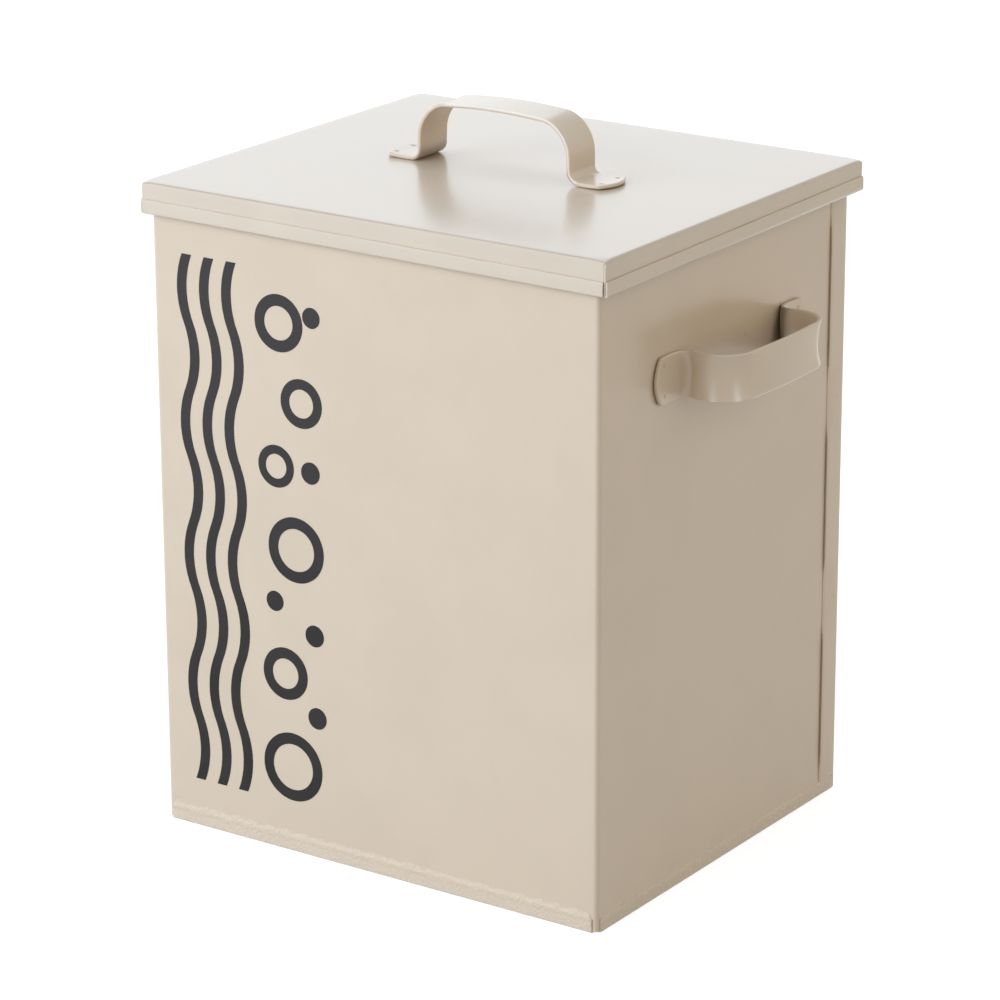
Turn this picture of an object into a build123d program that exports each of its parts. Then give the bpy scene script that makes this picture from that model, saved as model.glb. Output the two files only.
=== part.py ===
from build123d import *

import os

# Storage box for washing powder, folded from powder-coated sheet steel.
# A wrap makes the front and both sides, a back panel laps over its rear edges, and a shallow
# pan closes the bottom. A hemmed lid lifts off. Three strap handles are spot-welded on.
# Millimetres, +Z up, the front wall faces -Y, the origin is at the middle of the underside.

os.makedirs("parts", exist_ok=True)

# Whole box
box_height = 250.0  # floor to the lid's top face
body_width = 195.0  # over the side walls
body_depth = 168.0  # front wall's outside to the back panel's outside
sheet = 0.6  # coated steel sheet, every folded piece
overrun = 1.0  # how far a cut runs past what it cuts

# Folds and hems
corner_radius = 1.8  # outside of the upright corners
hem_gap = 0.2  # left between the two layers of a hem
hem_round = 0.5  # outside round of a hem's fold
rim_hem = 6.0  # depth of the sheet that is turned in at the rim
rim_hem_end = 3.1  # its ends, from the outside of a corner

# Lap of the back panel over the side walls
back_lap = 12.0  # width of its flanges
lap_clearance = 0.3  # flanges' lower edges above the base flange
seam_welds = 4
seam_weld_pitch = 71.0
seam_weld_lowest = 20.0  # height of the lowest one
seam_weld_inset = 5.7  # from the back panel's outside
weld_diameter = 2.0
weld_depth = 0.15
weld_taper = 35.0  # degrees, a weld's dished side
weld_sides = 12  # enough for a mark that small to look round

# Base pan
base_flange = 5.2  # height of the upturned edges
base_notch = 2.0  # flange ends from the body's corners

# Lid
lid_width = 201.0
lid_depth = 174.0
lid_skirt = 11.7  # top face to the lower edge
lid_hem = 5.1  # height of the sheet that is turned up outside the skirt
lid_fold = 1.1  # outside round along the top edges
lid_slit = 0.4  # between the front or back skirt and the side skirts
lid_right = 1.3  # the lid lies this far off the middle, within its play

# Strap handles, all three alike
strap_width = 17.5
strap_thickness = 1.5
strap_rise = 24.5  # carrying face above the face that it is welded to
leg_span = 68.0  # over the outsides of the two legs
strap_bow = 2.4  # rise of the middle over the lines of the legs
grip_bend = 10.5  # hollow side of the upper bends
foot_bend = 2.6  # hollow side of the lower bends
foot_reach = 51.0  # middle of the handle to the tip of a foot
foot_bulge = 3.2  # rounding of a foot's end
foot_corner = 0.8
strap_edge = 0.35  # softened edges
foot_weld_reach = 45.4  # middle of the handle to a foot's welds
foot_weld_pitch = 10.6

# Handle places
side_handle_drop = 53.3  # middle of the strap below the lid's top face
side_handle_back = 1.0  # behind the middle of the side wall
lid_handle_back = 1.5  # behind the middle of the box

# Print on the front wall: a column of waves beside a column of bubbles
ink = 0.1
print_stroke = 4.4
print_bottom = 19.0
print_height = 205.5
column_width = 30.0
waves_margin = 11.0  # from the front wall's left edge
column_gap = 5.5
wave_lines = 3
wave_swing = 2.6  # sideways swing of a wave from its middle line
wave_turns = 4
largest_disc = 4.2  # a bubble of a greater radius is a ring
ring_share = 0.42  # a small ring's stroke over its radius

# A bubble's centre across and up its column, and its radius over the column's width
bubble_shares = [
    (0.45, 0.072, 0.45),
    (0.84, 0.178, 0.14),
    (0.36, 0.250, 0.34),
    (0.82, 0.335, 0.14),
    (0.22, 0.385, 0.13),
    (0.56, 0.490, 0.42),
    (0.28, 0.640, 0.27),
    (0.80, 0.640, 0.14),
    (0.68, 0.765, 0.31),
    (0.36, 0.905, 0.36),
    (0.85, 0.925, 0.13),
]

# Places worked out from the sizes
half_width = body_width / 2
half_depth = body_depth / 2
rim = box_height - sheet  # the lid's sheet lies on the rim
hem = 2 * sheet + hem_gap  # thickness over a hem
lap_outside = half_width + sheet
wrap_end = half_depth - corner_radius  # side walls stop where the back panel starts to bend
lid_low = box_height - lid_skirt
lid_hem_top = lid_low + lid_hem
leg_inside = leg_span / 2 - strap_thickness
side_handle_height = box_height - side_handle_drop
sides = (-1, 1)


def bent_wall(points):
    """Stand a strip of sheet on the base's floor, up to the rim, with its outside through the points."""
    with BuildSketch(Plane.XY.offset(sheet)) as plan:
        with BuildLine():
            outside = FilletPolyline(*points, radius=corner_radius)
            offset(outside, amount=sheet, side=Side.LEFT)
        make_face()
    extrude(plan.sketch, amount=rim - sheet)


def turned_hem(fold, across, into, height, length):
    """Double a sheet over at a fold: across points over the two layers, into points up the hem."""
    fold_plane = Plane(fold, x_dir=across, z_dir=Vector(across).cross(Vector(into)))
    with BuildSketch(fold_plane) as section:
        Rectangle(hem, height, align=(Align.MIN, Align.MIN))
        fillet(section.vertices().group_by(Axis.Y)[0], hem_round)
        with Locations((sheet, sheet)):
            Rectangle(hem_gap, height, align=(Align.MIN, Align.MIN), mode=Mode.SUBTRACT)
    extrude(section.sketch, amount=length / 2, both=True)


def dish_welds(face, places):
    """Press the shallow round marks of spot welds into a face, at places on its plane."""
    with BuildSketch(face) as marks:
        with Locations(*places):
            RegularPolygon(weld_diameter / 2, weld_sides)
    extrude(marks.sketch, amount=-weld_depth, taper=weld_taper, mode=Mode.SUBTRACT)


def strap_profile(seat):
    """Sketch a strap handle's side view: feet on the seat, two legs and a bowed grip."""
    grip_height = strap_rise - strap_thickness
    leg_height = grip_height - strap_bow
    with BuildSketch(Plane(seat.origin, x_dir=seat.x_dir, z_dir=-seat.y_dir)) as profile:
        with BuildLine():
            with BuildLine() as inside:
                Polyline((-foot_reach, 0), (-leg_inside, 0), (-leg_inside, leg_height))
                ThreePointArc((-leg_inside, leg_height), (0, grip_height), (leg_inside, leg_height))
                Polyline((leg_inside, leg_height), (leg_inside, 0), (foot_reach, 0))
                fillet(inside.vertices().group_by(Axis.Y)[-1], grip_bend)
                heels = inside.vertices().group_by(Axis.Y)[0].sort_by(Axis.X)[1:3]
                fillet(heels, foot_bend + strap_thickness)
            offset(inside.line, amount=strap_thickness, side=Side.LEFT)
        make_face()
    return profile.sketch


def strap_outline(seat):
    """Sketch a strap handle from above: straight edges and feet with rounded ends."""
    foot_end = foot_reach - foot_bulge
    edge = strap_width / 2
    with BuildSketch(seat) as outline:
        with BuildLine():
            Line((-foot_end, edge), (foot_end, edge))
            ThreePointArc((foot_end, edge), (foot_reach, 0), (foot_end, -edge))
            Line((foot_end, -edge), (-foot_end, -edge))
            ThreePointArc((-foot_end, -edge), (-foot_reach, 0), (-foot_end, edge))
        make_face()
        fillet(outline.vertices(), foot_corner)
    return outline.sketch


def bent_strap(seat):
    """Bend a strap handle up from its seat, x along the handle and z out of the face it is welded to."""
    extrude(strap_profile(seat), amount=strap_width / 2, both=True)
    extrude(strap_outline(seat), amount=strap_rise, mode=Mode.INTERSECT)
    flanks = faces().filter_by(Plane(seat.origin, z_dir=seat.y_dir))
    chamfer(flanks.edges(), strap_edge)
    reach, spread = foot_weld_reach, foot_weld_pitch / 2
    dish_welds(seat.offset(strap_thickness), [(x, y) for x in (-reach, reach) for y in (-spread, spread)])


with BuildPart() as body_wrap:
    front, rear = -half_depth, wrap_end
    bent_wall([(-half_width, rear), (-half_width, front), (half_width, front), (half_width, rear)])
    fillet(body_wrap.edges().group_by(Axis.Z)[-1].sort_by(Axis.Y)[0], hem_round)
    front_hem, side_hem = body_width - 2 * rim_hem_end, body_depth - 2 * rim_hem_end
    turned_hem((0, -half_depth, rim), (0, 1, 0), (0, 0, -1), rim_hem, front_hem)
    for side in sides:
        turned_hem((side * half_width, 0, rim), (-side, 0, 0), (0, 0, -1), rim_hem, side_hem)

body_wrap.part.label = "body_wrap"
export_step(body_wrap.part, "parts/body_wrap.step")

with BuildPart() as back_panel:
    outer, lap_edge = lap_outside, half_depth - back_lap
    bent_wall([(outer, lap_edge), (outer, half_depth), (-outer, half_depth), (-outer, lap_edge)])
    fillet(back_panel.edges().group_by(Axis.Z)[-1].sort_by(Axis.Y)[-1], hem_round)
    turned_hem((0, half_depth, rim), (0, -1, 0), (0, 0, -1), rim_hem, body_width - 2 * rim_hem_end)
    # The flanges stop above the base's flange, the bends run on down to the floor
    with BuildSketch(Plane.XZ.offset(-wrap_end)):
        across = 2 * (lap_outside + overrun)
        Rectangle(across, base_flange + lap_clearance, align=(Align.CENTER, Align.MIN))
    extrude(amount=back_lap, mode=Mode.SUBTRACT)
    for side in sides:
        lowest_weld = (side * lap_outside, half_depth - seam_weld_inset, seam_weld_lowest)
        flange_face = Plane(lowest_weld, x_dir=(0, side, 0), z_dir=(side, 0, 0))
        dish_welds(flange_face, [(0, step * seam_weld_pitch) for step in range(seam_welds)])

back_panel.part.label = "back_panel"
export_step(back_panel.part, "parts/back_panel.step")

with BuildPart() as base_pan:
    with BuildSketch():
        Rectangle(body_width + 2 * sheet, body_depth + 2 * sheet)
    extrude(amount=base_flange)
    fillet(base_pan.edges().group_by(Axis.Z)[0], hem_round)
    with BuildSketch(Plane.XY.offset(sheet)):
        Rectangle(body_width, body_depth)
    extrude(amount=base_flange, mode=Mode.SUBTRACT)
    # Square notches let the flanges fold up beside the corners
    notch = 2 * (base_notch + sheet)
    with BuildSketch():
        with GridLocations(body_width + 2 * sheet, body_depth + 2 * sheet, 2, 2):
            Rectangle(notch, notch)
    extrude(amount=base_flange, mode=Mode.SUBTRACT)

base_pan.part.label = "base_pan"
export_step(base_pan.part, "parts/base_pan.step")

with BuildPart() as lid:
    with BuildSketch(Plane((lid_right, 0, lid_hem_top))):
        Rectangle(lid_width, lid_depth)
    extrude(amount=box_height - lid_hem_top)
    fillet(lid.edges().group_by(Axis.Z)[-1], lid_fold)
    offset(amount=-sheet, openings=lid.faces().sort_by(Axis.Z)[0])
    # Side skirts run the whole depth, the front and back ones stop at a slit inside them
    between = lid_width - 2 * (sheet + lid_slit)
    inner_x, inner_y = lid_width / 2 - sheet, lid_depth / 2 - sheet
    for side in sides:
        outer_fold = (lid_right + side * inner_x, 0, lid_low)
        turned_hem(outer_fold, (side, 0, 0), (0, 0, 1), lid_hem, lid_depth)
        inner_fold = (lid_right, side * inner_y, lid_low)
        turned_hem(inner_fold, (0, side, 0), (0, 0, 1), lid_hem, between)
    with BuildSketch(Plane((lid_right, 0, lid_hem_top))):
        with GridLocations(between + lid_slit, lid_depth - sheet, 2, 2):
            Rectangle(lid_slit, sheet)
    extrude(amount=box_height - lid_fold - lid_hem_top, mode=Mode.SUBTRACT)

lid.part.label = "lid"
export_step(lid.part, "parts/lid.step")

with BuildPart() as lid_handle:
    bent_strap(Plane((0, lid_handle_back, box_height)))

lid_handle.part.label = "lid_handle"
export_step(lid_handle.part, "parts/lid_handle.step")

with BuildPart() as side_handle_right:
    right_seat = (half_width, side_handle_back, side_handle_height)
    bent_strap(Plane(right_seat, x_dir=(0, 1, 0), z_dir=(1, 0, 0)))

side_handle_right.part.label = "side_handle_right"
export_step(side_handle_right.part, "parts/side_handle_right.step")

with BuildPart() as side_handle_left:
    left_seat = (-half_width, side_handle_back, side_handle_height)
    bent_strap(Plane(left_seat, x_dir=(0, -1, 0), z_dir=(-1, 0, 0)))

side_handle_left.part.label = "side_handle_left"
export_step(side_handle_left.part, "parts/side_handle_left.step")

with BuildPart() as front_print:
    lower_left = (-half_width + waves_margin, -half_depth, print_bottom)
    wave_pitch = (column_width - print_stroke - 2 * wave_swing) / (wave_lines - 1)
    half_turn = print_height / (2 * wave_turns)
    with BuildSketch(Plane(lower_left, x_dir=(1, 0, 0), z_dir=(0, -1, 0))):
        for line in range(wave_lines):
            # Both edges of a wave swing alike, a stroke apart, and join at its two ends
            left = wave_swing + line * wave_pitch
            right = left + print_stroke
            with BuildLine():
                for step in range(2 * wave_turns):
                    low, high = step * half_turn, (step + 1) * half_turn
                    swing = wave_swing * (-1) ** step
                    for edge in (left, right):
                        ThreePointArc((edge, low), (edge + swing, (low + high) / 2), (edge, high))
                Line((left, 0), (right, 0))
                Line((left, print_height), (right, print_height))
            make_face()
        for across, up, size in bubble_shares:
            radius = size * column_width
            centre = (column_width + column_gap + across * column_width, up * print_height)
            with Locations(centre):
                Circle(radius)
                if radius > largest_disc:
                    Circle(radius - min(print_stroke, ring_share * radius), mode=Mode.SUBTRACT)
    extrude(amount=ink)

front_print.part.label = "front_print"
export_step(front_print.part, "parts/front_print.step")
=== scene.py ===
"""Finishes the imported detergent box: powder-coated sheet steel, bent strap handles and printed design.

Run as a script. It is laid out as an add-on: settings, one operator for each group of pieces, one panel.
Lengths are metres, +Z up, the front wall faces -Y and the origin is at the middle of the underside.
"""
import math

import bmesh
import bpy
import numpy as np
from mathutils import Matrix, Vector


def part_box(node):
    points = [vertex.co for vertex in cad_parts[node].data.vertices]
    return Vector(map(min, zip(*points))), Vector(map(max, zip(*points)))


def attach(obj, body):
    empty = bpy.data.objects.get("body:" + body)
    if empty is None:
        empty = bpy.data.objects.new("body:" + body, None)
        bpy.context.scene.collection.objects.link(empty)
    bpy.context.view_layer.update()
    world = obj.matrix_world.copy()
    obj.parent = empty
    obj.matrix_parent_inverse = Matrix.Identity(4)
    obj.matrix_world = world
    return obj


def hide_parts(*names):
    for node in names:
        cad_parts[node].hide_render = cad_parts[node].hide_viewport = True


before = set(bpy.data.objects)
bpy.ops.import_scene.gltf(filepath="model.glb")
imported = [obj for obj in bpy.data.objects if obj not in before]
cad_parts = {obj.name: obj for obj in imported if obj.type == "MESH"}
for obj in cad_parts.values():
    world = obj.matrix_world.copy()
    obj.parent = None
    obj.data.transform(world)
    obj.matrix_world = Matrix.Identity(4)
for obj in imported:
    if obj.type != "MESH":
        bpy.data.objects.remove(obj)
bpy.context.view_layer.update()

bl_info = {
    "name": "Detergent Box",
    "version": (1, 0, 0),
    "blender": (4, 5, 0),
    "location": "View3D > Sidebar > Detergent Box",
    "description": "Folds, coats and prints a sheet-steel box with strap handles",
    "category": "Add Mesh",
}

MM = 0.001
PICTURE_WIDTH = 1000.0  # pixels
SENSOR = 36.0  # millimetres
CREASE = math.radians(40)  # edges that turn more than this stay sharp
CUT_EDGE = math.radians(50)  # edges of sheet that turn more than this are softened
ARC_INSET = 1 - math.sqrt(0.5)  # of an arc's middle from its straight runs, as a share of the radius


# Places taken from the frame

def node_box(name):
    """Lowest and highest corners of a node, as two arrays."""
    low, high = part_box(name)
    return np.array(low), np.array(high)


BASE_HIGH = node_box("base_pan")[1]
LAP_Y, BACK_Y = (corner[1] for corner in node_box("back_panel"))
PRINT_LOW, PRINT_HIGH = (corner[2] for corner in node_box("front_print"))


# Settings

class CoatSettings(bpy.types.PropertyGroup):
    """Finish of the powder coat."""

    colour: bpy.props.FloatVectorProperty(
        name="Coat colour", description="Warm grey-beige of the coat", subtype="COLOR", size=3,
        min=0.0, max=1.0, default=(0.63, 0.502, 0.357))
    roughness: bpy.props.FloatProperty(
        name="Roughness", description="Satin of the coat", min=0.0, max=1.0, default=0.36)
    peel_size: bpy.props.FloatProperty(
        name="Peel size", description="Width of the coat's fine ripples", unit="LENGTH", default=0.0017)
    peel_depth: bpy.props.FloatProperty(
        name="Peel depth", description="Depth of the coat's fine ripples", unit="LENGTH", default=0.000010)
    dent_height: bpy.props.FloatProperty(
        name="Dent height", description="Height of the small dent in the side walls", unit="LENGTH",
        default=0.200)
    dent_place: bpy.props.FloatProperty(
        name="Dent place", description="That dent's place along Y", unit="LENGTH", default=0.012)
    # The heel settings place a wedge of painted shade on each side wall beside a side strap's heel, where
    # the leg shades the wall.
    heel_shade_place: bpy.props.FloatProperty(
        name="Heel place", description="Along Y, where a side strap's heel leaves thin coat", unit="LENGTH",
        default=0.0365)
    heel_shade_top: bpy.props.FloatProperty(
        name="Heel top", description="Height at which that thin coat begins", unit="LENGTH", default=0.2060)
    heel_shade_low: bpy.props.FloatProperty(
        name="Heel low", description="Height at which that thin coat ends", unit="LENGTH", default=0.1897)
    heel_shade_slope: bpy.props.FloatProperty(
        name="Heel slope", description="How fast that thin coat widens downwards", default=0.75)
    sway_size: bpy.props.FloatProperty(
        name="Sway size", description="Width of the sheet's slow waves", unit="LENGTH", default=0.045)
    sway_depth: bpy.props.FloatProperty(
        name="Sway depth", description="Depth of the sheet's slow waves", unit="LENGTH", default=0.00010)


class PrintSettings(bpy.types.PropertyGroup):
    """Finish of the printed design."""

    colour: bpy.props.FloatVectorProperty(
        name="Ink colour", description="Soft black of the print", subtype="COLOR", size=3,
        min=0.0, max=1.0, default=(0.017, 0.015, 0.014))
    roughness: bpy.props.FloatProperty(
        name="Ink roughness", description="Matte of the print", min=0.0, max=1.0, default=0.46)


class StrapSettings(bpy.types.PropertyGroup):
    """Sizes of the strap handles."""

    width: bpy.props.FloatProperty(
        name="Width", description="Width of the strap", unit="LENGTH", default=0.0175)
    thickness: bpy.props.FloatProperty(
        name="Thickness", description="Thickness of the strap", unit="LENGTH", default=0.0015)
    rise: bpy.props.FloatProperty(
        name="Rise", description="Height over the face that carries it", unit="LENGTH", default=0.02448)
    span: bpy.props.FloatProperty(
        name="Span", description="Distance over the outsides of the legs", unit="LENGTH", default=0.068)
    bow: bpy.props.FloatProperty(
        name="Bow", description="Rise of the grip's middle", unit="LENGTH", default=0.0024)
    reach: bpy.props.FloatProperty(
        name="Reach", description="From the middle to the tip of a foot", unit="LENGTH", default=0.051)
    grip_bend: bpy.props.FloatProperty(
        name="Grip bend", description="Hollow side of the upper bends", unit="LENGTH", default=0.0105)
    foot_bend: bpy.props.FloatProperty(
        name="Foot bend", description="Hollow side of the lower bends", unit="LENGTH", default=0.0026)
    edge: bpy.props.FloatProperty(
        name="Edge", description="Rounding of the edges", unit="LENGTH", default=0.00050)
    bulge: bpy.props.FloatProperty(
        name="Bulge", description="Rounding of a foot's end", unit="LENGTH", default=0.0032)
    corner: bpy.props.FloatProperty(
        name="Corner", description="Radius of a foot's corners", unit="LENGTH", default=0.0008)
    flare: bpy.props.FloatProperty(
        name="Flare", description="How far the edges of a side strap curl out at an upper bend",
        unit="LENGTH", default=0.0016)
    foot_bow: bpy.props.FloatProperty(
        name="Foot bow", description="How far a lower bend bows towards the grip", unit="LENGTH",
        default=0.0024)
    heel_lift: bpy.props.FloatProperty(
        name="Heel lift", description="How far a heel stands off", unit="LENGTH", default=0.0007)
    heel_twist: bpy.props.FloatProperty(
        name="Heel twist", description="How much more the second heel's lower edge stands off",
        unit="LENGTH", default=0.0012)
    tip_lift: bpy.props.FloatProperty(
        name="Tip lift", description="How far a foot's tip stands off", unit="LENGTH", default=0.0004)
    splay: bpy.props.FloatProperty(
        name="Splay", description="How far the lid strap's legs lean in towards the grip", unit="LENGTH",
        default=0.0012)
    shorter: bpy.props.FloatProperty(
        name="Shorter", description="How much shorter the lid strap's feet are", unit="LENGTH",
        default=0.0012)
    aside: bpy.props.FloatProperty(
        name="Aside", description="How far to the right the lid strap sits", unit="LENGTH", default=0.0005)
    # bead_pitch spaces the beads in the painted shade under the lid strap's left foot.
    bead_pitch: bpy.props.FloatProperty(
        name="Bead pitch", description="Between the drops of coat under the lid strap's left foot",
        unit="LENGTH", default=0.0018)
    weld_reach: bpy.props.FloatProperty(
        name="Weld reach", description="From the middle to a foot's welds", unit="LENGTH", default=0.0454)
    weld_pitch: bpy.props.FloatProperty(
        name="Weld pitch", description="Between the two welds of a foot", unit="LENGTH", default=0.0106)
    # The highlight settings place two streaks of painted highlight across a side strap's first bend.
    highlight_places: bpy.props.FloatVectorProperty(
        name="Rub places", description="Pale streaks of the bending tool, from the first bend's middle",
        size=2, unit="LENGTH", default=(-0.0048, 0.0029))
    highlight_strengths: bpy.props.FloatVectorProperty(
        name="Rub strengths", description="How much each of those streaks shows", size=2,
        default=(0.55, 0.85))
    highlight_width: bpy.props.FloatProperty(
        name="Rub width", description="Half width of those streaks", unit="LENGTH", default=0.0011)
    weld_size: bpy.props.FloatProperty(
        name="Weld size", description="Radius of a weld's dish", unit="LENGTH", default=0.0008)
    weld_depth: bpy.props.FloatProperty(
        name="Weld depth", description="Depth of a weld's dish", unit="LENGTH", default=0.00032)


class SheetSettings(bpy.types.PropertyGroup):
    """Sizes of the folded sheets."""

    sheet: bpy.props.FloatProperty(
        name="Sheet", description="Thickness of the coated sheet", unit="LENGTH", default=0.0006)
    spacing: bpy.props.FloatProperty(
        name="Spacing", description="Distance between mesh points on flat sheet", unit="LENGTH",
        default=0.0025)
    corner: bpy.props.FloatProperty(
        name="Corner", description="Outside of the upright corners", unit="LENGTH", default=0.0018)
    hem_gap: bpy.props.FloatProperty(
        name="Hem gap", description="Hollow inside a hem's fold", unit="LENGTH", default=0.0002)
    rim_hem: bpy.props.FloatProperty(
        name="Rim hem", description="Depth of the sheet turned in at the rim", unit="LENGTH", default=0.006)
    rim_hem_end: bpy.props.FloatProperty(
        name="Rim hem end", description="Rim hem's ends from a corner's outside", unit="LENGTH",
        default=0.0031)
    lid_fold: bpy.props.FloatProperty(
        name="Lid fold", description="Outside round along the lid's top edges", unit="LENGTH",
        default=0.0009)
    lid_hem: bpy.props.FloatProperty(
        name="Lid hem", description="Height of the hem on the lid's skirt", unit="LENGTH", default=0.0054)
    hem_lean: bpy.props.FloatProperty(
        name="Hem lean", description="How far a hem's edge leans on the skirt", unit="LENGTH",
        default=0.00018)
    corner_droop: bpy.props.FloatProperty(
        name="Corner droop", description="How far the lid's corners are hammered down", unit="LENGTH",
        default=0.00045)
    hem_clip: bpy.props.FloatProperty(
        name="Hem clip", description="Corner cut from the ends of the side hems", unit="LENGTH",
        default=0.0008)
    # fold_shade is painted shade along the lid's front and rear folds; fold_highlight is a painted
    # highlight on the lower folds of its sides.
    fold_shade: bpy.props.FloatProperty(
        name="Fold line", description="How dark the coat is along the lid's front and rear folds",
        default=0.7)
    fold_highlight: bpy.props.FloatProperty(
        name="Fold rub", description="How pale the lower folds of the lid's sides are rubbed", default=3.0)
    sway: bpy.props.FloatProperty(
        name="Sway", description="Slow waves of the lid's skirts", unit="LENGTH", default=0.00006)
    skirt_sag: bpy.props.FloatVectorProperty(
        name="Skirt sag", description="How much deeper the lid's skirts are at the front left, "
        "front right, back left and back right corners", size=4, unit="LENGTH",
        default=(0.0003, 0.00125, 0.00015, 0.00005))
    base_bend: bpy.props.FloatProperty(
        name="Base bend", description="Outside round along the underside", unit="LENGTH", default=0.0007)
    base_notch: bpy.props.FloatProperty(
        name="Base notch", description="Corner cut out of the base", unit="LENGTH", default=0.0026)
    bead: bpy.props.FloatProperty(
        name="Bead", description="Height of the coat over the base flange's edge", unit="LENGTH",
        default=0.0026)
    side_bead: bpy.props.FloatProperty(
        name="Side bead", description="The same on the sides", unit="LENGTH", default=0.0007)
    bead_lap: bpy.props.FloatProperty(
        name="Bead lap", description="How far that coat reaches down the flange", unit="LENGTH",
        default=0.0012)
    bead_proud: bpy.props.FloatProperty(
        name="Bead proud", description="How thick that coat lies on the flange", unit="LENGTH",
        default=0.00003)
    lumps: bpy.props.FloatProperty(
        name="Lumps", description="Depth of the lumps in the coat of the base", unit="LENGTH",
        default=0.00016)
    lap_clearance: bpy.props.FloatProperty(
        name="Lap clearance", description="Back flanges' ends above the base flange", unit="LENGTH",
        default=0.0003)
    lap_lift: bpy.props.FloatProperty(
        name="Lap lift", description="How far the back flanges' edges stand off", unit="LENGTH",
        default=0.00020)
    lap_press: bpy.props.FloatProperty(
        name="Lap press", description="How far their welds press those edges into the wall", unit="LENGTH",
        default=0.00035)
    held: bpy.props.FloatProperty(
        name="Held", description="How far from a weld the back flanges' edges lie close", unit="LENGTH",
        default=0.013)
    weld_lowest: bpy.props.FloatProperty(
        name="Lowest weld", description="Height of the lowest weld of the lap", unit="LENGTH",
        default=0.080)
    weld_pitch: bpy.props.FloatProperty(
        name="Weld pitch", description="Between the welds of the lap", unit="LENGTH", default=0.080)
    weld_inset: bpy.props.FloatProperty(
        name="Weld inset", description="Welds of the lap from the back", unit="LENGTH", default=0.0057)


class StageSettings(bpy.types.PropertyGroup):
    """Camera, lamps and floor."""

    azimuth: bpy.props.FloatProperty(
        name="Azimuth", description="Camera's turn from the front wall", subtype="ANGLE",
        default=math.radians(34.503))
    elevation: bpy.props.FloatProperty(
        name="Elevation", description="Camera's height angle", subtype="ANGLE",
        default=math.radians(18.381))
    roll: bpy.props.FloatProperty(
        name="Roll", description="Camera's turn about its own axis", subtype="ANGLE",
        default=math.radians(-0.198))
    distance: bpy.props.FloatProperty(
        name="Distance", description="Camera to the box's middle", unit="LENGTH", default=1.5602)
    focal_pixels: bpy.props.FloatProperty(
        name="Focal length in pixels", description="Focal length in the picture's own pixels",
        default=4147.9)
    slide: bpy.props.FloatVectorProperty(
        name="Slide", description="Camera's sideways and upward slide", size=2, unit="LENGTH",
        default=(-0.00127, -0.00259))
    sky: bpy.props.FloatProperty(
        name="Sky", description="Strength of the surrounding light", default=0.77)
    dusk: bpy.props.FloatProperty(
        name="Dusk", description="Share of the surrounding light that is missing overhead", default=0.6)
    paper: bpy.props.FloatProperty(
        name="Paper", description="Paleness of the floor", default=0.42)
    glow: bpy.props.FloatProperty(
        name="Glow", description="Glow of the floor in the camera's eye", default=0.79)
    sheen: bpy.props.FloatProperty(
        name="Sheen", description="Share of that glow that glossy faces mirror", default=0.95)


# Shader maths

class Signal:
    """A shader socket that takes part in Python sums; numbers alone stay Python numbers."""

    def __init__(self, recipe, socket):
        self.recipe, self.socket = recipe, socket

    def _sum(self, operation, first, second=None, third=None):
        values = {i: v for i, v in enumerate((first, second, third)) if v is not None}
        return self.recipe.add("ShaderNodeMath", {"operation": operation}, values)

    def __add__(self, other):
        return self._sum("ADD", self, other)

    def __radd__(self, other):
        return self._sum("ADD", other, self)

    def __sub__(self, other):
        return self._sum("SUBTRACT", self, other)

    def __rsub__(self, other):
        return self._sum("SUBTRACT", other, self)

    def __mul__(self, other):
        return self._sum("MULTIPLY", self, other)

    def __rmul__(self, other):
        return self._sum("MULTIPLY", other, self)

    def __truediv__(self, other):
        return self._sum("DIVIDE", self, other)

    def power(self, exponent):
        return self._sum("POWER", self, exponent)

    def fraction(self):
        return self._sum("FRACT", self)

    def sign(self):
        return self._sum("SIGN", self)

    def most(self, other):
        return self._sum("MAXIMUM", self, other)


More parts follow.
